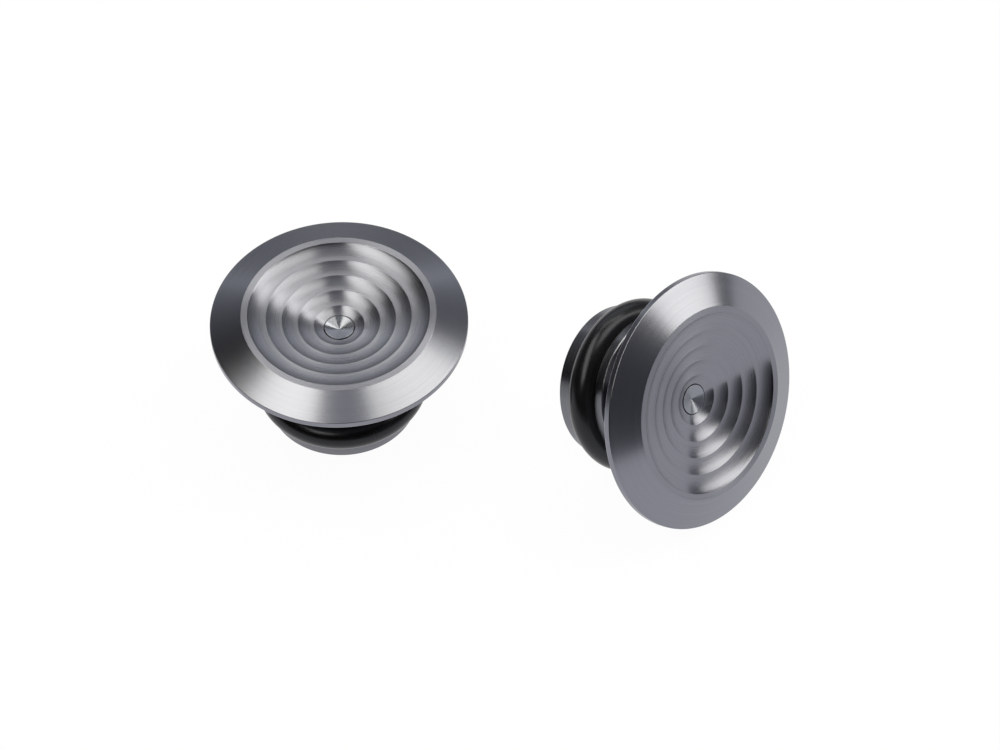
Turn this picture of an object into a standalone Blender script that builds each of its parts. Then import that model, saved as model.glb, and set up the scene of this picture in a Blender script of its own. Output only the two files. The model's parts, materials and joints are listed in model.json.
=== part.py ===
"""A pair of twist-to-tighten end plugs for a bicycle handlebar.

Each plug is a turned cap with a ringed dish, a stud fixed in the cap, a front disc, a rubber ring and an end
disc. Turning the cap draws the end disc along the stud, and the rubber ring between the two discs is squeezed
outwards against the bore of the bar. The left plug stands on its end disc. The right plug lies on the edge of
its cap and the edge of its end disc. Units are metres, +Z is up, and the plugs rest on the plane z = 0.
"""

import math

import bpy
from mathutils import Euler, Vector

MM = 0.001

# Cap: rim, bevel, flat land and dish, from the outside in
CAP_DIAMETER = 32.0 * MM
RIM_THICKNESS = 0.82 * MM
RIM_EDGE_BREAK = 0.08 * MM
BEVEL_WIDTH = 3.9 * MM
BEVEL_RISE = 1.65 * MM
LAND_WIDTH = 0.9 * MM
DISH_EDGE_BREAK = 0.1 * MM
DISH_DEPTH = 2.62 * MM

# Rings of the dish, hollowed by one round-nosed tool
CENTRE_RING_DIAMETER = 6.28 * MM
RING_STEP = 1.963 * MM
RING_TOOL_RADIUS = 3.8 * MM

# Neck behind the cap
NECK_DIAMETER = 14.0 * MM
NECK_LENGTH = 6.92 * MM
NECK_FILLET = 0.6 * MM
NECK_END_CHAMFER = 0.3 * MM

# Stud, and the pit of the dish that shows its dimpled end
STUD_DIAMETER = 4.0 * MM
STUD_END_RECESS = 0.4 * MM
STUD_END_CHAMFER = 0.35 * MM
PIT_LIP_WIDTH = 0.13 * MM
PIT_LIP_THICKNESS = 0.35 * MM
DIMPLE_LAND = 0.25 * MM
DIMPLE_DEPTH = 0.28 * MM

# Rubber ring and the two discs that squeeze it
RUBBER_DIAMETER = 21.7 * MM
RUBBER_SECTION = 3.7 * MM
RUBBER_PROUD_OF_FRONT_DISC = 1.65 * MM
RUBBER_PROUD_OF_END_DISC = 1.47 * MM
FRONT_DISC_THICKNESS = 1.45 * MM
END_DISC_THICKNESS = 2.0 * MM
DISC_CHAMFER = 0.2 * MM
DRAW_TRAVEL = 0.7 * MM

# Clearances
RUBBER_GAP = 0.05 * MM
BEARING_GAP = 0.1 * MM
THREAD_GAP = 0.1 * MM
STOP_GAP = 0.1 * MM

# How the pair lies
PAIR_CLEARANCE = 11.0 * MM
LYING_CAP_NEARER = 13.55 * MM
LYING_HEADING = math.radians(-39.7)

# Facets of a full turn, and of one hollow of the dish
CAP_STEPS = 60
DISC_STEPS = 48
STUD_STEPS = 24
RUBBER_SECTION_STEPS = 16
HOLLOW_STEPS = 3
FILLET_STEPS = 3
MERGE_DISTANCE = 0.001 * MM
SHARP_ANGLE = math.radians(22)

# Radii worked out from the sizes above
CAP_RADIUS = CAP_DIAMETER / 2
STUD_RADIUS = STUD_DIAMETER / 2
STUD_BORE_RADIUS = STUD_RADIUS + THREAD_GAP
PIT_RADIUS = STUD_RADIUS - PIT_LIP_WIDTH
RUBBER_RADIUS = RUBBER_DIAMETER / 2
RUBBER_CENTRE_RADIUS = RUBBER_RADIUS - RUBBER_SECTION / 2
FRONT_DISC_RADIUS = RUBBER_RADIUS - RUBBER_PROUD_OF_FRONT_DISC
END_DISC_RADIUS = RUBBER_RADIUS - RUBBER_PROUD_OF_END_DISC
SPIGOT_RADIUS = RUBBER_RADIUS - RUBBER_SECTION - RUBBER_GAP

# Heights of one plug above the underside of its end disc, from the bottom up
SPIGOT_END_Z = END_DISC_THICKNESS + DRAW_TRAVEL + STOP_GAP
RUBBER_Z = END_DISC_THICKNESS + RUBBER_GAP + RUBBER_SECTION / 2
FRONT_DISC_BACK_Z = END_DISC_THICKNESS + RUBBER_SECTION + 2 * RUBBER_GAP
FRONT_DISC_Z = FRONT_DISC_BACK_Z + FRONT_DISC_THICKNESS
NECK_END_Z = FRONT_DISC_Z + BEARING_GAP
FLANGE_BACK_Z = NECK_END_Z + NECK_LENGTH
RIM_FRONT_Z = FLANGE_BACK_Z + RIM_THICKNESS
LAND_Z = RIM_FRONT_Z + BEVEL_RISE
DISH_EDGE_Z = LAND_Z - DISH_EDGE_BREAK
PIT_Z = DISH_EDGE_Z - DISH_DEPTH
LIP_BACK_Z = PIT_Z - PIT_LIP_THICKNESS
STUD_TOP_Z = LIP_BACK_Z - BEARING_GAP


def clear_scene():
    """Remove every object that the scene starts with."""
    for obj in list(bpy.data.objects):
        bpy.data.objects.remove(obj, do_unlink=True)


def make_collection(name):
    """Add an empty collection to the scene."""
    collection = bpy.data.collections.new(name)
    bpy.context.scene.collection.children.link(collection)
    return collection


def make_material(name, colour, roughness, metallic):
    """Make a plain Principled material from a linear colour."""
    material = bpy.data.materials.new(name)
    material.use_nodes = True
    shader = material.node_tree.nodes["Principled BSDF"]
    shader.inputs["Base Color"].default_value = (*colour, 1.0)
    shader.inputs["Roughness"].default_value = roughness
    shader.inputs["Metallic"].default_value = metallic
    material.diffuse_color = (*colour, 1.0)
    return material


def hollow(outer, inner, tool_radius, steps):
    """Points of a hollow cut by a round tool, after the outer crest and up to the inner one."""
    run = inner - outer
    half_chord = run.length / 2
    normal = Vector((-run.y, run.x)).normalized()
    if normal.y < 0:
        normal.negate()
    centre = (outer + inner) / 2 + normal * math.sqrt(tool_radius ** 2 - half_chord ** 2)
    start = math.atan2(outer.y - centre.y, outer.x - centre.x)
    sweep = -2 * math.asin(half_chord / tool_radius)
    points = []
    for step in range(1, steps + 1):
        angle = start + sweep * step / steps
        points.append(centre + tool_radius * Vector((math.cos(angle), math.sin(angle))))
    return points


def dish_profile():
    """Points of the ringed dish from its edge inwards to the edge of the pit."""
    edge = Vector((CAP_RADIUS - BEVEL_WIDTH - LAND_WIDTH, DISH_EDGE_Z))
    slope = DISH_DEPTH / (edge.x - PIT_RADIUS)
    radius = CENTRE_RING_DIAMETER / 2
    crests = []
    while radius < edge.x - RING_STEP / 2:
        crests.append(Vector((radius, DISH_EDGE_Z - slope * (edge.x - radius))))
        radius += RING_STEP
    corners = [edge, *reversed(crests), Vector((PIT_RADIUS, PIT_Z))]
    points = [edge]
    for outer, inner in zip(corners, corners[1:]):
        points += hollow(outer, inner, RING_TOOL_RADIUS, HOLLOW_STEPS)
    return points


def cap_profile():
    """Closed outline of the cap, from the pit outwards over the face and back along the neck and bore."""
    face = [tuple(point) for point in reversed(dish_profile())]
    land_inner = CAP_RADIUS - BEVEL_WIDTH - LAND_WIDTH + DISH_EDGE_BREAK
    neck_radius = NECK_DIAMETER / 2
    fillet = []
    for step in range(FILLET_STEPS + 1):
        angle = math.pi / 2 * step / FILLET_STEPS
        reach = NECK_FILLET * (1 - math.sin(angle))
        drop = NECK_FILLET * (1 - math.cos(angle))
        fillet.append((neck_radius + reach, FLANGE_BACK_Z - drop))
    return [
        *face,
        (land_inner, LAND_Z),
        (CAP_RADIUS - BEVEL_WIDTH, LAND_Z),
        (CAP_RADIUS - RIM_EDGE_BREAK, RIM_FRONT_Z),
        (CAP_RADIUS, RIM_FRONT_Z - RIM_EDGE_BREAK),
        (CAP_RADIUS, FLANGE_BACK_Z),
        *fillet,
        (neck_radius, NECK_END_Z + NECK_END_CHAMFER),
        (neck_radius - NECK_END_CHAMFER, NECK_END_Z),
        (STUD_BORE_RADIUS, NECK_END_Z),
        (STUD_BORE_RADIUS, LIP_BACK_Z),
        (PIT_RADIUS, LIP_BACK_Z),
    ]


def stud_profile():
    """Outline of the stud from the tip of its dimple down to its chamfered lower end."""
    return [
        (0.0, STUD_TOP_Z - DIMPLE_DEPTH),
        (STUD_RADIUS - DIMPLE_LAND, STUD_TOP_Z),
        (STUD_RADIUS, STUD_TOP_Z),
        (STUD_RADIUS, STUD_END_RECESS + STUD_END_CHAMFER),
        (STUD_RADIUS - STUD_END_CHAMFER, STUD_END_RECESS),
        (0.0, STUD_END_RECESS),
    ]


def front_disc_profile():
    """Closed outline of the front disc, with the spigot that centres the rubber ring."""
    return [
        (STUD_BORE_RADIUS, FRONT_DISC_Z),
        (FRONT_DISC_RADIUS - DISC_CHAMFER, FRONT_DISC_Z),
        (FRONT_DISC_RADIUS, FRONT_DISC_Z - DISC_CHAMFER),
        (FRONT_DISC_RADIUS, FRONT_DISC_BACK_Z + DISC_CHAMFER),
        (FRONT_DISC_RADIUS - DISC_CHAMFER, FRONT_DISC_BACK_Z),
        (SPIGOT_RADIUS, FRONT_DISC_BACK_Z),
        (SPIGOT_RADIUS, SPIGOT_END_Z + DISC_CHAMFER),
        (SPIGOT_RADIUS - DISC_CHAMFER, SPIGOT_END_Z),
        (STUD_BORE_RADIUS, SPIGOT_END_Z),
    ]


def rubber_ring_profile():
    """Closed round section of the rubber ring, clockwise from its top."""
    points = []
    for step in range(RUBBER_SECTION_STEPS):
        angle = 2 * math.pi * step / RUBBER_SECTION_STEPS
        reach = RUBBER_SECTION / 2 * math.sin(angle)
        rise = RUBBER_SECTION / 2 * math.cos(angle)
        points.append((RUBBER_CENTRE_RADIUS + reach, RUBBER_Z + rise))
    return points


def end_disc_profile():
    """Closed outline of the end disc, a round nut with chamfered edges and a chamfered thread."""
    return [
        (STUD_BORE_RADIUS + DISC_CHAMFER, END_DISC_THICKNESS),
        (END_DISC_RADIUS - DISC_CHAMFER, END_DISC_THICKNESS),
        (END_DISC_RADIUS, END_DISC_THICKNESS - DISC_CHAMFER),
        (END_DISC_RADIUS, DISC_CHAMFER),
        (END_DISC_RADIUS - DISC_CHAMFER, 0.0),
        (STUD_BORE_RADIUS + DISC_CHAMFER, 0.0),
        (STUD_BORE_RADIUS, DISC_CHAMFER),
        (STUD_BORE_RADIUS, END_DISC_THICKNESS - DISC_CHAMFER),
    ]


def turned_mesh(name, profile, steps, closed, material):
    """Turn an outline of (radius, height) points about Z into one closed, smooth-shaded mesh."""
    outline = bpy.data.meshes.new(name + "_outline")
    edges = [(i, i + 1) for i in range(len(profile) - 1)]
    if closed:
        edges.append((len(profile) - 1, 0))
    outline.from_pydata([(radius, 0.0, height) for radius, height in profile], edges, [])
    lathe = bpy.data.objects.new(name + "_lathe", outline)
    bpy.context.scene.collection.objects.link(lathe)
    screw = lathe.modifiers.new("Turn", "SCREW")
    screw.axis = "Z"
    screw.steps = steps
    screw.render_steps = steps
    screw.use_merge_vertices = True
    screw.merge_threshold = MERGE_DISTANCE
    turned = bpy.data.meshes.new_from_object(lathe.evaluated_get(bpy.context.evaluated_depsgraph_get()))
    bpy.data.objects.remove(lathe, do_unlink=True)
    bpy.data.meshes.remove(outline)
    turned.name = name
    turned.materials.append(material)
    turned.shade_smooth()
    turned.set_sharp_from_angle(angle=SHARP_ANGLE)
    return turned


def plug_meshes():
    """Make the mesh of each kind of piece once, keyed by the piece's name."""
    grey = (0.19, 0.195, 0.215)
    steel = (0.42, 0.42, 0.43)
    black = (0.012, 0.012, 0.013)
    cap_finish = make_material("cap_anodised_aluminium", grey, 0.32, 1.0)
    disc_finish = make_material("front_disc_anodised_aluminium", grey, 0.38, 1.0)
    end_finish = make_material("end_disc_anodised_aluminium", grey, 0.38, 1.0)
    stud_finish = make_material("stud_steel", steel, 0.28, 1.0)
    rubber_finish = make_material("ring_black_rubber", black, 0.42, 0.0)
    return {
        "cap": turned_mesh("cap", cap_profile(), CAP_STEPS, True, cap_finish),
        "draw_stud": turned_mesh("draw_stud", stud_profile(), STUD_STEPS, False, stud_finish),
        "front_disc": turned_mesh("front_disc", front_disc_profile(), DISC_STEPS, True, disc_finish),
        "rubber_ring": turned_mesh("rubber_ring", rubber_ring_profile(), DISC_STEPS, True, rubber_finish),
        "end_disc": turned_mesh("end_disc", end_disc_profile(), DISC_STEPS, True, end_finish),
    }


def lying_tilt():
    """Angle of the lying plug's axis above the floor, resting on its cap's edge and what lies under it."""
    supports = [(END_DISC_RADIUS, DISC_CHAMFER), (RUBBER_RADIUS, RUBBER_Z)]
    slopes = [(CAP_RADIUS - radius) / (FLANGE_BACK_Z - height) for radius, height in supports]
    return math.atan(min(slopes))


def turned_reach(radius, axis, index):
    """Half extent, along one world axis, of a circle of this radius square to the plug's axis."""
    return radius * math.sqrt(max(0.0, 1 - axis[index] ** 2))


def pair_layout():
    """Places of the two plugs, with the origin under the middle of the pair's bounding box.

    Returns the standing plug's location, and the lying plug's location and turn.
    """
    tilt = lying_tilt()
    turn = Euler((0.0, math.pi / 2 - tilt, LYING_HEADING))
    axis = turn.to_matrix() @ Vector((0.0, 0.0, 1.0))
    rest_height = CAP_RADIUS * math.cos(tilt) - FLANGE_BACK_Z * math.sin(tilt)
    lying_x = CAP_RADIUS + PAIR_CLEARANCE + turned_reach(END_DISC_RADIUS, axis, 0)
    lying_y = -LYING_CAP_NEARER - RIM_FRONT_Z * axis.y
    lying = Vector((lying_x, lying_y, rest_height))

    low = Vector((-CAP_RADIUS, -CAP_RADIUS))
    high = Vector((CAP_RADIUS, CAP_RADIUS))
    circles = [(END_DISC_RADIUS, 0.0), (RUBBER_RADIUS, RUBBER_Z), (CAP_RADIUS, RIM_FRONT_Z)]
    for radius, height in circles:
        centre = lying + axis * height
        for index in range(2):
            reach = turned_reach(radius, axis, index)
            low[index] = min(low[index], centre[index] - reach)
            high[index] = max(high[index], centre[index] + reach)
    middle = ((low + high) / 2).to_3d()
    return -middle, lying - middle, turn


def place_plug(prefix, meshes, location, turn, collection):
    """Hang one plug's pieces on an empty that stands on the plug's axis."""
    frame = bpy.data.objects.new(prefix + "_plug", None)
    frame.empty_display_size = CAP_RADIUS
    frame.location = location
    frame.rotation_euler = turn
    collection.objects.link(frame)
    for piece, mesh in meshes.items():
        obj = bpy.data.objects.new(prefix + "_" + piece, mesh)
        obj.parent = frame
        collection.objects.link(obj)


def main():
    """Build the pair."""
    clear_scene()
    collection = make_collection("handlebar_end_plugs")
    meshes = plug_meshes()
    standing, lying, turn = pair_layout()
    place_plug("left", meshes, standing, Euler((0.0, 0.0, 0.0)), collection)
    place_plug("right", meshes, lying, turn, collection)


main()
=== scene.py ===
"""Dresses a pair of turned aluminium end plugs for a bicycle handlebar.

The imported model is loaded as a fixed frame. Each turned piece is then rebuilt on it as a fine mesh with rounded
edges, given a procedural finish and set on the body that carries it. Sizes of pieces are in millimetres, with the
plug's axis along Z and the underside of its end disc at height 0, until a mesh is placed in the frame in metres.
"""

import json
import logging
import math
from dataclasses import dataclass
from enum import Enum
from typing import Any, NamedTuple

import bpy
from mathutils import Matrix, Quaternion, Vector


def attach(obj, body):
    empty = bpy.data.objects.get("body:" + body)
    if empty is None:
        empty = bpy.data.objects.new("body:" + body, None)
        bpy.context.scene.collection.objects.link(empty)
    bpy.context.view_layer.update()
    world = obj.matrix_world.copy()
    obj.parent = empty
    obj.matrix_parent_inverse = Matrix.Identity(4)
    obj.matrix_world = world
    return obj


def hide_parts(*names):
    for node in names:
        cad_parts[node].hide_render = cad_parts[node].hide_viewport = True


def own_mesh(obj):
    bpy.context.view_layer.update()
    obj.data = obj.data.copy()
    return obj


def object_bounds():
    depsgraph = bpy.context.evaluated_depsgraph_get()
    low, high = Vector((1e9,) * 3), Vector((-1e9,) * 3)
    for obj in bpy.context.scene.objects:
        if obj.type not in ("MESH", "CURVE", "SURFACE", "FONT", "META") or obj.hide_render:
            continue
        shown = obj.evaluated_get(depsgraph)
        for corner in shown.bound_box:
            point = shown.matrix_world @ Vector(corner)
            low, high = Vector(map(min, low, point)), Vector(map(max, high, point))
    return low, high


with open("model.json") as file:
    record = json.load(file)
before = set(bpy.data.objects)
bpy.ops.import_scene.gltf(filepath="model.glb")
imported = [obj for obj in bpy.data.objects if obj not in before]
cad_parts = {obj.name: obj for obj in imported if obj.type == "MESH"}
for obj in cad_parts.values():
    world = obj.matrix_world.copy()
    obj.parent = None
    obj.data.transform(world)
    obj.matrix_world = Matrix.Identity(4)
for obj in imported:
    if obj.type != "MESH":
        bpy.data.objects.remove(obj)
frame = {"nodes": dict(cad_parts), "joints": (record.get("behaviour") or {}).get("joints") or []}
CAD_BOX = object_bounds()

LOG = logging.getLogger("end_plugs")
MM = 0.001

# Names that the turned meshes and the finishes share
TURN_UV = "turned"
GRAIN = "grain"
EDGE = "edge"
RUN = "run"
THREAD = "thread"
FACED = "faced"

# Colour sockets of a Mix node
MIX_FACTOR = 0
MIX_A = 6
MIX_B = 7
MIX_RESULT = 2

# A noise texture keeps mostly within this range
NOISE_LOW = 0.3
NOISE_HIGH = 0.7

# Turns the narrow way of an anisotropic reflection from across the feed lines to along them
QUARTER_TURN = 0.25


class Side(Enum):
    """The two plugs of the pair."""

    LEFT = "left"
    RIGHT = "right"


class OutlinePoint(NamedTuple):
    """One point of a turned outline: place, how much lighter edge colour it takes for wear and as a painted highlight,
    thread depth, and whether it has a facing cut.
    """

    radius: float
    height: float
    edge: float = 0.0
    thread: float = 0.0
    faced: float = 0.0


class Corner(NamedTuple):
    """One corner of an outline before it is rounded: place, radius of the rounding, and how much lighter edge colour
    its rounding takes, partly for wear and partly as a painted highlight of the edge's glint.
    """

    radius: float
    height: float
    rounding: float = 0.0
    wear_and_glint: float = 1.0


class Span(NamedTuple):
    """Extent of a piece of the frame along a plug's axis, and its largest radius."""

    low: float
    high: float
    radius: float


def linear(hex_colour: str) -> tuple[float, float, float, float]:
    """Turn an sRGB hex colour into linear light.

    Args:
        hex_colour: Six hex digits after a hash sign.

    Returns:
        Red, green, blue and an alpha of 1.
    """
    channels = []
    for start in (1, 3, 5):
        value = int(hex_colour[start:start + 2], 16) / 255
        channels.append(value / 12.92 if value <= 0.04045 else ((value + 0.055) / 1.055) ** 2.4)
    return (*channels, 1.0)


def add_node(tree: bpy.types.NodeTree, kind: str, inputs: dict[str | int, Any], **settings: Any) -> bpy.types.Node:
    """Add a node with its settings, and fill its inputs with values or links.

    Args:
        tree: Tree that takes the node.
        kind: Type name of the node.
        inputs: Values, or output sockets to link, by input name or number.
        settings: Properties of the node.

    Returns:
        The new node.
    """
    node = tree.nodes.new(kind)
    for name, value in settings.items():
        setattr(node, name, value)
    for key, value in inputs.items():
        if isinstance(value, bpy.types.NodeSocket):
            tree.links.new(value, node.inputs[key])
        else:
            node.inputs[key].default_value = value
    return node


def new_material(name: str) -> bpy.types.Material:
    """Make a material with an empty node tree."""
    material = bpy.data.materials.new(name)
    material.use_nodes = True
    material.node_tree.nodes.clear()
    return material


@dataclass(frozen=True)
class TurnedMetal:
    """Metal cut on a lathe, whose feed lines run round the axis.

    The lines spread a reflection across themselves and keep it narrow along themselves, so a softbox shows as a
    bright wedge that points at the middle, and the grey between the wedges has a fine circular grain.
    """

    name: str
    colour: str
    line_colour: str
    # Lighter colour of rounded edges: partly wear of the film, partly a painted highlight for the glint that an edge
    # catches.
    wear_and_glint_colour: str
    roughness: float
    anisotropy: float
    line_spacing: float
    line_depth: float
    tone_swing: float
    roughness_swing: float
    streaks: float = 0.8

    def material(self) -> bpy.types.Material:
        """Make the finish as a material.

        Returns:
            A material that reads the turned mesh's own UV map and attributes.
        """
        material = new_material(self.name)
        tree = material.node_tree
        grain = add_node(tree, "ShaderNodeAttribute", {}, attribute_name=GRAIN)
        edge = add_node(tree, "ShaderNodeAttribute", {}, attribute_name=EDGE)
        line_scale = (self.streaks, self.streaks, 1 / self.line_spacing)
        place = add_node(tree, "ShaderNodeMapping", {"Vector": grain.outputs["Vector"], "Scale": line_scale})
        lines = add_node(
            tree, "ShaderNodeTexNoise", {"Vector": place.outputs[0], "Scale": 1.0, "Detail": 3.0, "Roughness": 0.65}
        )
        swing = add_node(
            tree, "ShaderNodeMapRange",
            {
                "Value": lines.outputs[0], "From Min": NOISE_LOW, "From Max": NOISE_HIGH,
                "To Min": 0.0, "To Max": self.tone_swing,
            },
        )
        tone = add_node(
            tree, "ShaderNodeMix",
            {MIX_FACTOR: swing.outputs[0], MIX_A: linear(self.colour), MIX_B: linear(self.line_colour)},
            data_type="RGBA",
        )
        # Rounded edges take the lighter edge colour: partly wear, partly a painted highlight standing in for their
        # glint lines.
        wear_and_glint = add_node(
            tree, "ShaderNodeMix",
            {
                MIX_FACTOR: edge.outputs["Fac"],
                MIX_A: tone.outputs[MIX_RESULT],
                MIX_B: linear(self.wear_and_glint_colour),
            },
            data_type="RGBA",
        )
        rough = add_node(
            tree, "ShaderNodeMapRange",
            {
                "Value": lines.outputs[0], "From Min": NOISE_LOW, "From Max": NOISE_HIGH,
                "To Min": self.roughness - self.roughness_swing, "To Max": self.roughness + self.roughness_swing,
            },
        )
        bump = add_node(
            tree, "ShaderNodeBump",
            {"Strength": 1.0, "Distance": self.line_depth * MM, "Height": lines.outputs[0]},
        )
        tangent = add_node(tree, "ShaderNodeTangent", {}, direction_type="UV_MAP", uv_map=TURN_UV)
        shader = add_node(
            tree, "ShaderNodeBsdfPrincipled",
            {
                "Base Color": wear_and_glint.outputs[MIX_RESULT], "Metallic": 1.0, "Roughness": rough.outputs[0],
                "Anisotropic": self.anisotropy, "Anisotropic Rotation": QUARTER_TURN,
                "Tangent": tangent.outputs[0], "Normal": bump.outputs[0],
            },
        )
        add_node(tree, "ShaderNodeOutputMaterial", {"Surface": shader.outputs[0]})
        return material


@dataclass(frozen=True)
class MouldedRubber:
    """Black rubber from a polished mould.

    Nearly black, with soft streaks of light along the ring and a faint bloom that breaks them up.
    """

    name: str
    colour: str
    bloom_colour: str
    sheen_colour: str
    gloss: float
    roughness: float
    roughness_swing: float
    bloom_size: float
    grit: float
    grit_depth: float

    def material(self) -> bpy.types.Material:
        """Make the finish as a material that reads Object coordinates."""
        material = new_material(self.name)
        tree = material.node_tree
        place = add_node(tree, "ShaderNodeTexCoord", {})
        bloom = add_node(
            tree, "ShaderNodeTexNoise",
            {"Vector": place.outputs["Object"], "Scale": 1 / (self.bloom_size * MM), "Detail": 4.0},
        )
        grit = add_node(
            tree, "ShaderNodeTexNoise",
            {"Vector": place.outputs["Object"], "Scale": 1 / (self.grit * MM), "Detail": 2.0},
        )
        tone = add_node(
            tree, "ShaderNodeMix",
            {MIX_FACTOR: bloom.outputs[0], MIX_A: linear(self.colour), MIX_B: linear(self.bloom_colour)},
            data_type="RGBA",
        )
        rough = add_node(
            tree, "ShaderNodeMapRange",
            {
                "Value": bloom.outputs[0], "From Min": NOISE_LOW, "From Max": NOISE_HIGH,
                "To Min": self.roughness - self.roughness_swing, "To Max": self.roughness + self.roughness_swing,
            },
        )
        bump = add_node(
            tree, "ShaderNodeBump",
            {"Strength": 1.0, "Distance": self.grit_depth * MM, "Height": grit.outputs[0]},
        )
        shader = add_node(
            tree, "ShaderNodeBsdfPrincipled",
            {
                "Base Color": tone.outputs[MIX_RESULT], "Roughness": rough.outputs[0],
                "Specular IOR Level": self.gloss, "Specular Tint": linear(self.sheen_colour),
                "Normal": bump.outputs[0],
            },
        )
        add_node(tree, "ShaderNodeOutputMaterial", {"Surface": shader.outputs[0]})
        return material


@dataclass(frozen=True)
class WhiteSweep:
    """Matt white studio board, bright enough to lose its edges, with a faint shadow left on it."""

    name: str
    colour: str
    glow: float

    def material(self) -> bpy.types.Material:
        """Make the board: white to the eye and in reflections, plain matt to the lamps, clear from below."""
        material = new_material(self.name)
        tree = material.node_tree
        path = add_node(tree, "ShaderNodeLightPath", {})
        seen = add_node(
            tree, "ShaderNodeMath",
            {0: path.outputs["Is Camera Ray"], 1: path.outputs["Is Glossy Ray"]}, operation="MAXIMUM",
        )
        shown = add_node(
            tree, "ShaderNodeMath",
            {0: seen.outputs[0], 1: path.outputs["Is Transmission Ray"]}, operation="MAXIMUM",
        )
        share = add_node(tree, "ShaderNodeMath", {0: shown.outputs[0], 1: self.glow}, operation="MULTIPLY")
        matt = add_node(tree, "ShaderNodeBsdfDiffuse", {"Color": linear(self.colour)})
        white = add_node(tree, "ShaderNodeEmission", {"Strength": 1.0})
        board = add_node(tree, "ShaderNodeMixShader", {0: share.outputs[0], 1: matt.outputs[0], 2: white.outputs[0]})
        side = add_node(tree, "ShaderNodeNewGeometry", {})
        clear = add_node(tree, "ShaderNodeBsdfTransparent", {})
        shader = add_node(
            tree, "ShaderNodeMixShader", {0: side.outputs["Backfacing"], 1: board.outputs[0], 2: clear.outputs[0]}
        )
        add_node(tree, "ShaderNodeOutputMaterial", {"Surface": shader.outputs[0]})
        return material


# Anodised aluminium keeps the lathe's lines under a clear grey film, so it is a dark metal with a blue cast.
# Real feed lines are about 0.05 mm apart and too fine to show, so they are drawn 0.16 mm apart.
CAP_FINISH = TurnedMetal(
    name="fine_turned_grey_anodised_aluminium",
    colour="#7B7C85",
    line_colour="#84858E",
    wear_and_glint_colour="#B9BBC1",
    roughness=0.278,
    anisotropy=0.944,
    line_spacing=0.16,
    line_depth=0.00006,
    tone_swing=0.7,
    roughness_swing=0.007,
)

# Bevel and rim get a last facing cut with a flat tool, so they are glossier and their wedges have softer sides.
BEVEL_FINISH = TurnedMetal(
    name="faced_grey_anodised_aluminium",
    colour="#7E7F88",
    line_colour="#868790",
    wear_and_glint_colour="#B9BBC1",
    roughness=0.238,
    anisotropy=0.556,
    line_spacing=0.16,
    line_depth=0.00004,
    tone_swing=0.7,
    roughness_swing=0.007,
)

# The discs come from the same bar with a plainer cut. Their colour is darker than the cap's as painted shade, for the
# shade that they sit in under the flange.
DISC_FINISH = TurnedMetal(
    name="plain_turned_grey_anodised_aluminium",
    colour="#6D6E74",
    line_colour="#797A80",
    wear_and_glint_colour="#B4B6BD",
    roughness=0.25,
    anisotropy=0.6,
    line_spacing=0.22,
    line_depth=0.00006,
    tone_swing=0.8,
    roughness_swing=0.02,
)

# The stud's end is cut with a sharp drill, so it has the cap's grey but small white glints with crisp sides.
STUD_FINISH = TurnedMetal(
    name="drilled_grey_steel",
    colour="#83858E",
    line_colour="#8A8C95",
    wear_and_glint_colour="#B9BABC",
    roughness=0.205,
    anisotropy=1.0,
    line_spacing=0.12,
    line_depth=0.00003,
    tone_swing=0.4,
    roughness_swing=0.004,
)

RUBBER_FINISH = MouldedRubber(
    name="moulded_black_nitrile_rubber",
    colour="#0D0D0E",
    bloom_colour="#161617",
    sheen_colour="#EEF2FF",
    gloss=0.36,
    roughness=0.26,
    roughness_swing=0.02,
    bloom_size=2.5,
    grit=0.12,
    grit_depth=0.003,
)

FLOOR_FINISH = WhiteSweep(name="matt_white_studio_board", colour="#F4F4F4", glow=0.965)


@dataclass(frozen=True)
class PlugPlace:
    """Where one plug of the frame is: its axis, and the middle of the underside of its end disc."""

    side: Side
    origin: Vector
    axis: Vector

    @classmethod
    def from_frame(cls, side: Side) -> "PlugPlace":
        """Read a plug's place from its cap's joint and its end disc.

        Args:
            side: Which plug.

        Returns:
            The plug's place in the row frame, in metres.
        """
        joint = next(j for j in frame["joints"] if j["name"] == f"{side.value}_cap_turn")
        pivot = Vector(joint["pos_m"])
        axis = -Vector(joint["axis"]).normalized()
        disc = frame["nodes"][f"{side.value}_end_disc"].data
        base = min((vertex.co - pivot).dot(axis) for vertex in disc.vertices)
        return cls(side, pivot + axis * base, axis)

    def matrix(self) -> Matrix:
        """Matrix from the plug's own millimetres to the row frame."""
        turn = Vector((0.0, 0.0, 1.0)).rotation_difference(self.axis).to_matrix().to_4x4()
        return Matrix.Translation(self.origin) @ turn @ Matrix.Scale(MM, 4)

    def at_height(self, height: float) -> Vector:
        """Point of the axis at a height in millimetres, in the row frame."""
        return self.origin + self.axis * (height * MM)

    def span(self, piece: str) -> Span:
        """Measure a CAD piece of this plug.

        Args:
            piece: Name of the piece without its side.

        Returns:
            Its extent along the axis and its largest radius, in millimetres.
        """
        heights = []
        radii = []
        for vertex in frame["nodes"][f"{self.side.value}_{piece}"].data.vertices:
            offset = vertex.co - self.origin
            height = offset.dot(self.axis)
            heights.append(height / MM)
            radii.append((offset - self.axis * height).length / MM)
        return Span(min(heights), max(heights), max(radii))


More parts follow.
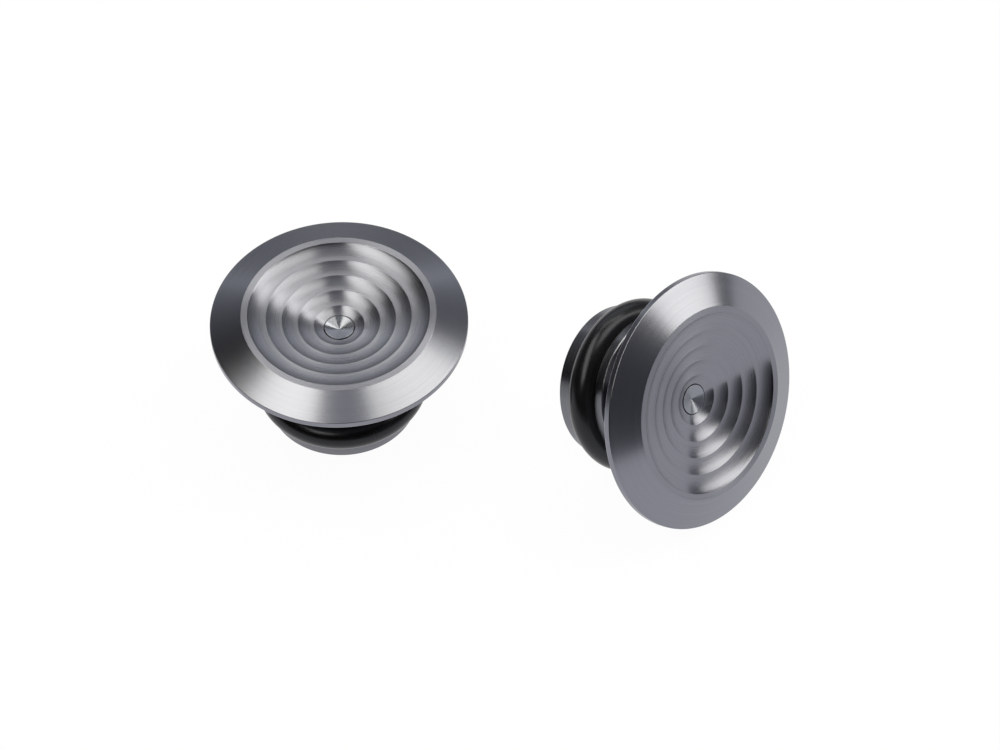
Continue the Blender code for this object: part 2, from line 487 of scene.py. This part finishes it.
@dataclass(frozen=True)
class OutlineRounder:
    """Rounds the corners of turned outlines and keeps their straight runs flat."""

    arc_step: float = math.radians(9)
    guard: float = 0.03
    guarded_run: float = 0.4

    def arc(self, before: Vector, corner: Vector, after: Vector, rounding: float) -> list[Vector]:
        """Points of a rounded corner.

        Args:
            before: Point that the outline comes from.
            corner: Sharp corner.
            after: Point that the outline goes to.
            rounding: Radius of the rounding.

        Returns:
            Points along the arc, both ends included.
        """
        into = (corner - before).normalized()
        out = (after - corner).normalized()
        turn = into.angle_signed(out)
        reach = rounding * math.tan(abs(turn) / 2)
        start = corner - into * reach
        normal = Vector((into.y, -into.x)) * math.copysign(1.0, turn)
        centre = start + normal * rounding
        steps = max(2, math.ceil(abs(turn) / self.arc_step))
        points = []
        for step in range(steps + 1):
            spoke = start - centre
            spoke.rotate(Matrix.Rotation(-turn * step / steps, 2))
            points.append(centre + spoke)
        return points

    def outline(self, corners: list[Corner]) -> list[OutlinePoint]:
        """Round an outline.

        Args:
            corners: Corners in order. A closed outline repeats its first corner at the end.

        Returns:
            Points of the rounded outline, with guard points near the ends of its long straight runs.
        """
        rounded: list[list[OutlinePoint]] = []
        for index, corner in enumerate(corners):
            place = Vector((corner.radius, corner.height))
            if corner.rounding == 0:
                rounded.append([OutlinePoint(place.x, place.y)])
                continue
            before = Vector(corners[index - 1][:2])
            after = Vector(corners[index + 1][:2])
            arc = self.arc(before, place, after, corner.rounding)
            rounded.append([OutlinePoint(point.x, point.y, corner.wear_and_glint) for point in arc])
        points = list(rounded[0])
        for group in rounded[1:]:
            points += self.guards(points[-1], group[0])
            points += group
        return points

    def guards(self, start: OutlinePoint, end: OutlinePoint) -> list[OutlinePoint]:
        """Two points that hold a straight run flat up to its ends, or none on a short run."""
        run = Vector((end.radius - start.radius, end.height - start.height))
        if run.length < self.guarded_run:
            return []
        step = run.normalized() * self.guard
        return [
            OutlinePoint(start.radius + step.x, start.height + step.y),
            OutlinePoint(end.radius - step.x, end.height - step.y),
        ]


class Lathe:
    """Turns outlines about the plug's axis with one Geometry Nodes tree."""

    MERGE_DISTANCE = 0.0005
    WHOLE_FACE = 0.99

    def __init__(self) -> None:
        """Build the tree."""
        self.sockets: dict[str, str] = {}
        self.tree = self.make_tree()

    def make_tree(self) -> bpy.types.NodeTree:
        """Build the tree: a grid whose columns are copies of the outline, turned step by step round Z.

        Returns:
            The tree. It also stores the turn and the run along the outline for the finishes.
        """
        tree = bpy.data.node_groups.new("turn_outline_about_axis", "GeometryNodeTree")
        tree.interface.new_socket("Outline", in_out="INPUT", socket_type="NodeSocketGeometry")
        given_values = (
            ("Facets", "Int"), ("Thread Pitch", "Float"), ("Finish", "Material"), ("Facing Finish", "Material"),
        )
        for name, kind in given_values:
            socket = tree.interface.new_socket(name, in_out="INPUT", socket_type="NodeSocket" + kind)
            self.sockets[name] = socket.identifier
        tree.interface.new_socket("Turned", in_out="OUTPUT", socket_type="NodeSocketGeometry")

        given = add_node(tree, "NodeGroupInput", {}).outputs
        rows = add_node(tree, "GeometryNodeAttributeDomainSize", {"Geometry": given["Outline"]}).outputs["Point Count"]
        columns = add_node(tree, "ShaderNodeMath", {0: given["Facets"], 1: 1.0}, operation="ADD").outputs[0]
        grid = add_node(tree, "GeometryNodeMeshGrid", {"Vertices X": columns, "Vertices Y": rows}).outputs["Mesh"]
        index = add_node(tree, "GeometryNodeInputIndex", {}).outputs[0]
        row = add_node(tree, "ShaderNodeMath", {0: index, 1: rows}, operation="FLOORED_MODULO").outputs[0]
        share = add_node(tree, "ShaderNodeMath", {0: index, 1: rows}, operation="DIVIDE").outputs[0]
        column = add_node(tree, "ShaderNodeMath", {0: share}, operation="FLOOR").outputs[0]
        turn = add_node(tree, "ShaderNodeMath", {0: column, 1: given["Facets"]}, operation="DIVIDE").outputs[0]
        angle = add_node(tree, "ShaderNodeMath", {0: turn, 1: math.tau}, operation="MULTIPLY").outputs[0]

        place = add_node(tree, "GeometryNodeInputPosition", {}).outputs[0]
        on_outline = add_node(
            tree, "GeometryNodeSampleIndex",
            {"Geometry": given["Outline"], "Value": place, "Index": row}, data_type="FLOAT_VECTOR",
        ).outputs[0]
        sampled = {}
        for name in (RUN, EDGE, THREAD, FACED):
            value = add_node(tree, "GeometryNodeInputNamedAttribute", {"Name": name}, data_type="FLOAT").outputs[0]
            sampled[name] = add_node(
                tree, "GeometryNodeSampleIndex",
                {"Geometry": given["Outline"], "Value": value, "Index": row}, data_type="FLOAT",
            ).outputs[0]

        split = add_node(tree, "ShaderNodeSeparateXYZ", {0: on_outline}).outputs
        pitches = add_node(
            tree, "ShaderNodeMath", {0: split["Z"], 1: given["Thread Pitch"]}, operation="DIVIDE"
        ).outputs[0]
        phase = add_node(tree, "ShaderNodeMath", {0: pitches, 1: turn}, operation="SUBTRACT").outputs[0]
        flank = add_node(tree, "ShaderNodeMath", {0: phase, 1: 0.5}, operation="PINGPONG").outputs[0]
        groove = add_node(tree, "ShaderNodeMath", {0: flank, 1: sampled[THREAD]}, operation="MULTIPLY").outputs[0]
        depth = add_node(tree, "ShaderNodeMath", {0: groove, 1: 2.0}, operation="MULTIPLY").outputs[0]
        radius = add_node(tree, "ShaderNodeMath", {0: split["X"], 1: depth}, operation="SUBTRACT").outputs[0]
        section = add_node(tree, "ShaderNodeCombineXYZ", {"X": radius, "Z": split["Z"]}).outputs[0]
        turned = add_node(
            tree, "ShaderNodeVectorRotate", {"Vector": section, "Angle": angle}, rotation_type="Z_AXIS"
        ).outputs[0]
        shape = add_node(tree, "GeometryNodeSetPosition", {"Geometry": grid, "Position": turned}).outputs[0]

        spoke = add_node(
            tree, "ShaderNodeVectorRotate", {"Vector": (1.0, 0.0, 0.0), "Angle": angle}, rotation_type="Z_AXIS"
        ).outputs[0]
        along = add_node(tree, "ShaderNodeCombineXYZ", {"Z": sampled[RUN]}).outputs[0]
        grain = add_node(tree, "ShaderNodeVectorMath", {0: spoke, 1: along}, operation="ADD").outputs[0]
        unrolled = add_node(tree, "ShaderNodeCombineXYZ", {"X": turn, "Y": sampled[RUN]}).outputs[0]
        stored = (
            (TURN_UV, "FLOAT2", unrolled), (GRAIN, "FLOAT_VECTOR", grain),
            (EDGE, "FLOAT", sampled[EDGE]), (FACED, "FLOAT", sampled[FACED]),
        )
        for name, data_type, value in stored:
            kind = "FLOAT" if data_type == "FLOAT" else "FLOAT_VECTOR"
            at_point = add_node(
                tree, "GeometryNodeFieldOnDomain", {"Value": value}, data_type=kind, domain="POINT"
            ).outputs[0]
            shape = add_node(
                tree, "GeometryNodeStoreNamedAttribute", {"Geometry": shape, "Name": name, "Value": at_point},
                data_type=data_type, domain="CORNER",
            ).outputs[0]

        welded = add_node(
            tree, "GeometryNodeMergeByDistance", {"Geometry": shape, "Distance": self.MERGE_DISTANCE}
        ).outputs[0]
        outward = add_node(tree, "GeometryNodeFlipFaces", {"Mesh": welded}).outputs[0]
        smooth = add_node(tree, "GeometryNodeSetShadeSmooth", {"Geometry": outward, "Shade Smooth": True}).outputs[0]
        real = add_node(tree, "GeometryNodeRealizeInstances", {"Geometry": smooth}).outputs[0]
        dressed = add_node(
            tree, "GeometryNodeSetMaterial", {"Geometry": real, "Material": given["Finish"]}
        ).outputs[0]
        cut = add_node(tree, "GeometryNodeInputNamedAttribute", {"Name": FACED}, data_type="FLOAT").outputs[0]
        faced = add_node(
            tree, "ShaderNodeMath", {0: cut, 1: self.WHOLE_FACE}, operation="GREATER_THAN"
        ).outputs[0]
        finished = add_node(
            tree, "GeometryNodeSetMaterial",
            {"Geometry": dressed, "Selection": faced, "Material": given["Facing Finish"]},
        ).outputs[0]
        add_node(tree, "NodeGroupOutput", {"Turned": finished})
        return tree

    def turn(
        self, name: str, points: list[OutlinePoint], facets: int, finish: bpy.types.Material, place: PlugPlace,
        thread_pitch: float = 1.0, facing_finish: bpy.types.Material | None = None,
    ) -> bpy.types.Object:
        """Turn an outline into a placed piece.

        Args:
            name: Name of the piece.
            points: Outline from the top of the axis outwards and round, in the plug's millimetres.
            facets: Facets of a full turn.
            finish: Material of the piece.
            place: Plug that the piece belongs to.
            thread_pitch: Pitch of the thread where the outline has one.
            facing_finish: Material of the part of the outline that has a facing cut.

        Returns:
            An object at the origin, with its place in its mesh.
        """
        outline = bpy.data.meshes.new(name + "_outline")
        outline.from_pydata([(point.radius, 0.0, point.height) for point in points], [], [])
        runs = [0.0]
        for start, end in zip(points, points[1:]):
            runs.append(runs[-1] + math.hypot(end.radius - start.radius, end.height - start.height))
        fields = {
            RUN: runs,
            EDGE: [point.edge for point in points],
            THREAD: [point.thread for point in points],
            FACED: [point.faced for point in points],
        }
        for field_name, values in fields.items():
            outline.attributes.new(field_name, "FLOAT", "POINT").data.foreach_set("value", values)
        blank = bpy.data.objects.new(name + "_blank", outline)
        bpy.context.scene.collection.objects.link(blank)
        modifier = blank.modifiers.new("Turn", "NODES")
        modifier.node_group = self.tree
        modifier[self.sockets["Facets"]] = facets
        modifier[self.sockets["Thread Pitch"]] = thread_pitch
        modifier[self.sockets["Finish"]] = finish
        modifier[self.sockets["Facing Finish"]] = facing_finish or finish
        graph = bpy.context.evaluated_depsgraph_get()
        mesh = bpy.data.meshes.new_from_object(
            blank.evaluated_get(graph), preserve_all_data_layers=True, depsgraph=graph
        )
        bpy.data.objects.remove(blank)
        bpy.data.meshes.remove(outline)
        mesh.name = name
        mesh.transform(place.matrix())
        piece = bpy.data.objects.new(name, mesh)
        bpy.context.scene.collection.objects.link(piece)
        return piece


def seat(piece: bpy.types.Object, body: str, node: str) -> None:
    """Set a piece on its body in place of a CAD node.

    Args:
        piece: Finished piece.
        body: Body that carries it.
        node: CAD node that it stands for.
    """
    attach(piece, body)
    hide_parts(node)
    LOG.info("%s: %d faces on %s", piece.name, len(piece.data.polygons), body)


@dataclass
class TurningCap:
    """The cap with its ringed dish and neck, and the stud that is fixed in it."""

    place: PlugPlace
    rounder: OutlineRounder
    rim_thickness: float = 0.82
    bevel_width: float = 3.9
    bevel_rise: float = 1.65
    land_width: float = 0.9
    dish_depth: float = 2.62
    dish_edge_break: float = 0.1
    centre_ring_diameter: float = 6.28
    ring_step: float = 1.963
    ring_tool_radius: float = 3.8
    hollow_steps: int = 12
    crest_rounding: float = 0.12
    # Share of the lighter edge colour on crests and inner edges: partly wear, partly painted highlight.
    crest_wear_and_glint: float = 0.0
    edge_rounding: float = 0.08
    land_rounding: float = 0.2
    pit_rounding: float = 0.04
    rim_rounding: float = 0.1
    # Share of the lighter edge colour on the rim's back edge: partly wear, partly painted highlight.
    rim_wear_and_glint: float = 0.5
    neck_diameter: float = 14.0
    neck_fillet: float = 0.6
    neck_end_chamfer: float = 0.3
    dish_foot_diameter: float = 3.74
    pit_lip_width: float = 0.05
    pit_lip_thickness: float = 0.35
    stud_bore_gap: float = 0.1
    boss_gap: float = 0.12
    boss_rise: float = 0.4
    boss_rounding: float = 0.02
    dimple_land: float = 0.05
    dimple_depth: float = 0.46
    stud_end_chamfer: float = 0.35
    thread_pitch: float = 0.7
    thread_depth: float = 0.38
    thread_top: float = 7.0
    thread_rows_per_pitch: int = 10
    cap_facets: int = 256
    stud_facets: int = 96

    def __post_init__(self) -> None:
        """Take the cap's and the stud's reach from the frame."""
        self.cap = self.place.span("cap")
        self.stud = self.place.span("draw_stud")
        self.pit_radius = self.stud.radius - self.pit_lip_width
        self.dish_radius = self.cap.radius - self.bevel_width - self.land_width
        self.dish_edge_height = self.cap.high - self.dish_edge_break
        self.lip_back = self.dish_edge_height - self.dish_depth - self.pit_lip_thickness

    def crests(self) -> list[Vector]:
        """Corners between the hollows of the dish, from the one that the pit cuts away outwards."""
        slope = self.dish_depth / (self.dish_radius - self.dish_foot_diameter / 2)
        found = []
        radius = self.centre_ring_diameter / 2 - self.ring_step
        while radius < self.dish_radius - self.ring_step / 2:
            found.append(Vector((radius, self.dish_edge_height - slope * (self.dish_radius - radius))))
            radius += self.ring_step
        found.append(Vector((self.dish_radius, self.dish_edge_height)))
        return found

    def tool_centre(self, inner: Vector, outer: Vector) -> Vector:
        """Middle of the round-nosed tool that leaves a hollow between two crests."""
        run = outer - inner
        upward = Vector((-run.y, run.x)).normalized()
        return (inner + outer) / 2 + upward * math.sqrt(self.ring_tool_radius ** 2 - run.length_squared / 4)

    def hollow(self, inner: Vector, outer: Vector) -> list[Corner]:
        """Points of one hollow.

        Args:
            inner: Crest nearer the axis.
            outer: Crest further out.

        Returns:
            Points between the two crests.
        """
        run = outer - inner
        upward = Vector((-run.y, run.x)).normalized()
        centre = self.tool_centre(inner, outer)
        half_sweep = math.asin(run.length / 2 / self.ring_tool_radius)
        points = []
        for step in range(1, self.hollow_steps):
            angle = half_sweep * (2 * step / self.hollow_steps - 1)
            spoke = -upward * math.cos(angle) + run.normalized() * math.sin(angle)
            point = centre + spoke * self.ring_tool_radius
            points.append(Corner(point.x, point.y))
        return points

    def pit_edge(self) -> Vector:
        """Where the pit cuts the innermost hollow."""
        inner, outer = self.crests()[:2]
        centre = self.tool_centre(inner, outer)
        drop = math.sqrt(self.ring_tool_radius ** 2 - (self.pit_radius - centre.x) ** 2)
        return Vector((self.pit_radius, centre.y - drop))

    def face_corners(self) -> list[Corner]:
        """Corners of the front face, from the pit's edge over the dish, land and bevel to the rim's back edge."""
        crests = self.crests()
        rings = []
        for inner, outer in zip(crests, crests[1:]):
            rings += self.hollow(inner, outer)
            rings.append(Corner(*outer, self.crest_rounding, self.crest_wear_and_glint))
        rings[-1] = Corner(*crests[-1])
        pit_clear = self.pit_radius + self.pit_rounding
        rim_front = self.cap.high - self.bevel_rise
        return [
            Corner(*self.pit_edge(), self.pit_rounding, self.crest_wear_and_glint),
            *(corner for corner in rings if corner.radius > pit_clear),
            Corner(self.dish_radius + self.dish_edge_break, self.cap.high, self.edge_rounding, self.crest_wear_and_glint),
            Corner(self.cap.radius - self.bevel_width, self.cap.high, self.land_rounding, self.crest_wear_and_glint),
            Corner(self.cap.radius, rim_front, self.rim_rounding, self.crest_wear_and_glint),
            Corner(self.cap.radius, rim_front - self.rim_thickness, self.rim_rounding, self.rim_wear_and_glint),
        ]

    def mark_facing(self, point: OutlinePoint) -> OutlinePoint:
        """Mark a point of the outline that is on the bevel or the rim."""
        inside = point.radius < self.cap.radius - self.bevel_width
        below = point.height < self.cap.high - self.bevel_rise - self.rim_thickness
        return point if inside or below else point._replace(faced=1.0)

    def cap_outline(self) -> list[OutlinePoint]:
        """Outline of the whole cap, closed round the stud's bore."""
        flange_back = self.cap.high - self.bevel_rise - self.rim_thickness
        neck = self.neck_diameter / 2
        bore = self.stud.radius + self.stud_bore_gap
        start = Corner(self.pit_radius, self.lip_back)
        outline = self.rounder.outline([
            start,
            *self.face_corners(),
            Corner(neck, flange_back, self.neck_fillet, 0.0),
            Corner(neck, self.cap.low + self.neck_end_chamfer, self.rim_rounding),
            Corner(neck - self.neck_end_chamfer, self.cap.low, self.rim_rounding),
            Corner(bore, self.cap.low),
            Corner(bore, self.lip_back),
            start,
        ])
        return [self.mark_facing(point) for point in outline]

    def stud_outline(self) -> list[OutlinePoint]:
        """Outline of the stud, from the tip of its dimple over the boss in the pit and down its thread to its end."""
        radius = self.stud.radius
        boss = self.pit_radius - self.boss_gap
        boss_top = self.stud.high + self.boss_rise
        crown = self.rounder.outline([
            Corner(0.0, boss_top - self.dimple_depth),
            Corner(boss - self.dimple_land, boss_top, self.boss_rounding, self.crest_wear_and_glint),
            Corner(boss, boss_top, self.boss_rounding, self.crest_wear_and_glint),
            Corner(boss, self.stud.high),
            Corner(radius, self.stud.high, self.edge_rounding / 2),
            Corner(radius, self.thread_top),
        ])
        thread_end = self.stud.low + self.stud_end_chamfer
        rows = round((self.thread_top - thread_end) / self.thread_pitch * self.thread_rows_per_pitch)
        thread = []
        for row in range(1, rows):
            height = self.thread_top + (thread_end - self.thread_top) * row / rows
            thread.append(OutlinePoint(radius, height, 0.0, self.thread_depth))
        tip = self.rounder.outline([
            Corner(radius, thread_end),
            Corner(radius - self.stud_end_chamfer, self.stud.low, self.rim_rounding),
            Corner(0.0, self.stud.low),
        ])
        return crown + thread + tip

    def build(
        self, lathe: Lathe, cap_finish: bpy.types.Material, bevel_finish: bpy.types.Material,
        stud_finish: bpy.types.Material,
    ) -> None:
        """Turn both pieces and set them on the turning body.

        Args:
            lathe: Tool that turns the outlines.
            cap_finish: Finish of the cap.
            bevel_finish: Finish of the cap's bevel and rim.
            stud_finish: Finish of the stud.
        """
        side = self.place.side.value
        body = f"{side}_turning_cap"
        cap = lathe.turn(
            f"{side}_ringed_cap", self.cap_outline(), self.cap_facets, cap_finish, self.place,
            facing_finish=bevel_finish,
        )
        seat(cap, body, f"{side}_cap")
        stud = lathe.turn(
            f"{side}_threaded_stud", self.stud_outline(), self.stud_facets, stud_finish, self.place, self.thread_pitch
        )
        seat(stud, body, f"{side}_draw_stud")


@dataclass
class SqueezeStack:
    """The rubber ring and the two discs that squeeze it."""

    place: PlugPlace
    rounder: OutlineRounder
    front_disc_thickness: float = 1.45
    spigot_gap: float = 0.05
    bore_diameter: float = 4.2
    disc_chamfer: float = 0.12
    disc_rounding: float = 0.05
    # Share of the lighter edge colour on the disc edges: partly wear, partly painted highlight.
    disc_wear_and_glint: float = 0.2
    ring_section_steps: int = 48
    disc_facets: int = 192

    def __post_init__(self) -> None:
        """Take the reach of the discs and the ring from the frame."""
        self.front = self.place.span("front_disc")
        self.ring = self.place.span("rubber_ring")
        self.end = self.place.span("end_disc")
        self.travel = next(
            j["range_m"][1] / MM for j in frame["joints"] if j["name"] == f"{self.place.side.value}_end_draw"
        )
        self.front_back = self.front.high - self.front_disc_thickness

    def front_outline(self) -> list[OutlinePoint]:
        """Outline of the front disc, with the spigot inside the ring."""
        bore = self.bore_diameter / 2
        spigot = self.ring.radius - (self.ring.high - self.ring.low) - self.spigot_gap
        chamfer = self.disc_chamfer
        edge = self.disc_rounding
        wear_and_glint = self.disc_wear_and_glint
        start = Corner(bore, self.front.high)
        return self.rounder.outline([
            start,
            Corner(self.front.radius - chamfer, self.front.high, edge, wear_and_glint),
            Corner(self.front.radius, self.front.high - chamfer, edge, wear_and_glint),
            Corner(self.front.radius, self.front_back + chamfer, edge, wear_and_glint),
            Corner(self.front.radius - chamfer, self.front_back, edge, wear_and_glint),
            Corner(spigot, self.front_back),
            Corner(spigot, self.front.low + chamfer, edge, wear_and_glint),
            Corner(spigot - chamfer, self.front.low, edge, wear_and_glint),
            Corner(bore, self.front.low),
            start,
        ])

    def end_outline(self) -> list[OutlinePoint]:
        """Outline of the end disc, a round nut on the stud."""
        bore = self.bore_diameter / 2
        chamfer = self.disc_chamfer
        edge = self.disc_rounding
        wear_and_glint = self.disc_wear_and_glint
        start = Corner(bore, self.end.high - chamfer)
        return self.rounder.outline([
            start,
            Corner(bore + chamfer, self.end.high, edge, wear_and_glint),
            Corner(self.end.radius - chamfer, self.end.high, edge, wear_and_glint),
            Corner(self.end.radius, self.end.high - chamfer, edge, wear_and_glint),
            Corner(self.end.radius, self.end.low + chamfer, edge, wear_and_glint),
            Corner(self.end.radius - chamfer, self.end.low, edge, wear_and_glint),
            Corner(bore + chamfer, self.end.low, edge, wear_and_glint),
            Corner(bore, self.end.low + chamfer, edge, wear_and_glint),
            start,
        ])

    def ring_outline(self) -> list[OutlinePoint]:
        """Round section of the rubber ring."""
        section = (self.ring.high - self.ring.low) / 2
        centre_radius = self.ring.radius - section
        centre_height = (self.ring.high + self.ring.low) / 2
        points = []
        for step in range(self.ring_section_steps + 1):
            angle = math.tau * step / self.ring_section_steps
            points.append(
                OutlinePoint(centre_radius - section * math.cos(angle), centre_height + section * math.sin(angle))
            )
        return points

    def build(self, lathe: Lathe, disc_finish: bpy.types.Material, rubber_finish: bpy.types.Material) -> None:
        """Turn the three pieces and set them on their bodies.

        Args:
            lathe: Tool that turns the outlines.
            disc_finish: Finish of both discs.
            rubber_finish: Finish of the ring.
        """
        side = self.place.side.value
        facets = self.disc_facets
        front = lathe.turn(f"{side}_front_collar", self.front_outline(), facets, disc_finish, self.place)
        seat(front, "seats", f"{side}_front_disc")
        end = lathe.turn(f"{side}_end_nut", self.end_outline(), facets, disc_finish, self.place)
        seat(end, f"{side}_drawn_end", f"{side}_end_disc")
        ring = lathe.turn(f"{side}_grip_ring", self.ring_outline(), facets, rubber_finish, self.place)
        seat(ring, "seats", f"{side}_rubber_ring")
        self.place.at_height(self.front_back)
        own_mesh(ring)


@dataclass(frozen=True)
class Softbox:
    """One rectangular softbox that faces the pair, with sizes in metres and angles in degrees."""

    name: str
    azimuth: float
    elevation: float
    distance: float
    width: float
    height: float
    roll: float
    radiance: float
    colour: str = "#FFFDEF"

    def hang(self, target: Vector) -> None:
        """Hang the softbox.

        Args:
            target: Point that the softbox faces.
        """
        azimuth = math.radians(self.azimuth)
        elevation = math.radians(self.elevation)
        level = math.cos(elevation)
        direction = Vector((level * math.cos(azimuth), level * math.sin(azimuth), math.sin(elevation)))
        lamp = bpy.data.lights.new(self.name, "AREA")
        lamp.shape = "RECTANGLE"
        lamp.size = self.width
        lamp.size_y = self.height
        lamp.color = linear(self.colour)[:3]
        lamp.energy = self.radiance * math.pi * self.width * self.height
        holder = bpy.data.objects.new(self.name, lamp)
        holder.location = target + direction * self.distance
        roll = Quaternion((0.0, 0.0, 1.0), math.radians(self.roll))
        holder.rotation_euler = (direction.to_track_quat("Z", "Y") @ roll).to_euler()
        holder.visible_camera = False
        bpy.context.scene.collection.objects.link(holder)


@dataclass
class Studio:
    """Floor, light and camera round the pair, with the floor's gap and the camera's place in millimetres."""

    floor_radius: float = 4.0
    floor_sides: int = 64
    floor_gap: float = 0.05
    room_colour: str = "#F4F8FF"
    room_level: float = 0.26
    room_ceiling: float = 0.24
    room_lean: tuple[float, float, float] = (0.75, 0.97, -1.3)
    camera_height: float = 578.304
    camera_back: float = 446.553
    camera_right: float = 0.042
    camera_pitch: float = 51.83
    camera_roll: float = -1.30
    camera_shift: tuple[float, float] = (-0.00105, 0.0008)
    camera_clip: tuple[float, float] = (0.01, 20.0)
    lens: float = 210.03
    sensor: float = 36.0
    softboxes: tuple[Softbox, ...] = (
        Softbox("right_softbox", 6.5, 45.3, 1.2, 0.62, 1.78, 0.0, 3.6),
        Softbox("left_top_softbox", 203.5, 65.3, 1.2, 1.49, 0.51, -24.0, 4.0),
        Softbox("far_top_softbox", 73.0, 57.5, 1.2, 1.05, 0.20, 6.0, 4.0),
        Softbox("far_card", 92.0, 33.0, 1.2, 1.28, 0.58, 0.0, 0.8, "#FAFCFF"),
        Softbox("overhead_card", 270.0, 86.0, 1.2, 0.38, 0.50, 0.0, 0.75, "#FAFCFF"),
    )

    def lay_floor(self, finish: bpy.types.Material) -> None:
        """Lay the board that the plugs rest on, a hair below them so that no two faces share a plane.

        Args:
            finish: Material of the board.
        """
        corners = []
        for side in range(self.floor_sides):
            angle = math.tau * side / self.floor_sides
            edge = (self.floor_radius * math.cos(angle), self.floor_radius * math.sin(angle))
            corners.append((*edge, -self.floor_gap * MM))
        mesh = bpy.data.meshes.new("studio_floor")
        mesh.from_pydata(corners, [], [tuple(range(self.floor_sides))])
        mesh.materials.append(finish)
        floor = bpy.data.objects.new("studio_floor", mesh)
        bpy.context.scene.collection.objects.link(floor)

    def light(self) -> None:
        """Hang warm softboxes and cooler cards in a dim bluish room that is lighter on its far side."""
        low, high = CAD_BOX
        middle = (low + high) / 2
        for softbox in self.softboxes:
            softbox.hang(middle)
        world = bpy.data.worlds.new("dim_bluish_room")
        world.use_nodes = True
        world.node_tree.nodes.clear()
        tree = world.node_tree
        way = add_node(tree, "ShaderNodeTexCoord", {}).outputs["Generated"]
        lean = add_node(
            tree, "ShaderNodeVectorMath", {0: way, 1: self.room_lean}, operation="DOT_PRODUCT"
        ).outputs["Value"]
        level = add_node(
            tree, "ShaderNodeMath", {0: lean, 1: self.room_level, 2: self.room_level}, operation="MULTIPLY_ADD",
            use_clamp=True,
        ).outputs[0]
        held = add_node(tree, "ShaderNodeMath", {0: level, 1: self.room_ceiling}, operation="MINIMUM").outputs[0]
        room = add_node(tree, "ShaderNodeBackground", {"Color": linear(self.room_colour), "Strength": held})
        add_node(tree, "ShaderNodeOutputWorld", {"Surface": room.outputs[0]})
        bpy.context.scene.world = world

    def set_camera(self) -> None:
        """Set the camera at the photograph's place and angle."""
        data = bpy.data.cameras.new("camera")
        data.lens = self.lens
        data.sensor_width = self.sensor
        data.shift_x, data.shift_y = self.camera_shift
        data.clip_start, data.clip_end = self.camera_clip
        camera = bpy.data.objects.new("camera", data)
        tip = Matrix.Rotation(math.radians(90 - self.camera_pitch), 4, "X")
        roll = Matrix.Rotation(math.radians(self.camera_roll), 4, "Z")
        spot = Vector((self.camera_right, -self.camera_back, self.camera_height)) * MM
        camera.matrix_world = Matrix.Translation(spot) @ tip @ roll
        bpy.context.scene.collection.objects.link(camera)
        bpy.context.scene.camera = camera

    def build(self, floor_finish: bpy.types.Material) -> None:
        """Set up the whole studio."""
        self.lay_floor(floor_finish)
        self.light()
        self.set_camera()
        bpy.context.scene.view_settings.view_transform = "Standard"


def main() -> None:
    """Build the two plugs and the studio."""
    logging.basicConfig(level=logging.INFO, format="%(name)s %(message)s")
    lathe = Lathe()
    rounder = OutlineRounder()
    cap_finish = CAP_FINISH.material()
    bevel_finish = BEVEL_FINISH.material()
    stud_finish = STUD_FINISH.material()
    disc_finish = DISC_FINISH.material()
    rubber_finish = RUBBER_FINISH.material()
    for side in Side:
        place = PlugPlace.from_frame(side)
        TurningCap(place, rounder).build(lathe, cap_finish, bevel_finish, stud_finish)
        SqueezeStack(place, rounder).build(lathe, disc_finish, rubber_finish)
    Studio().build(FLOOR_FINISH.material())


if __name__ == "__main__":
    main()
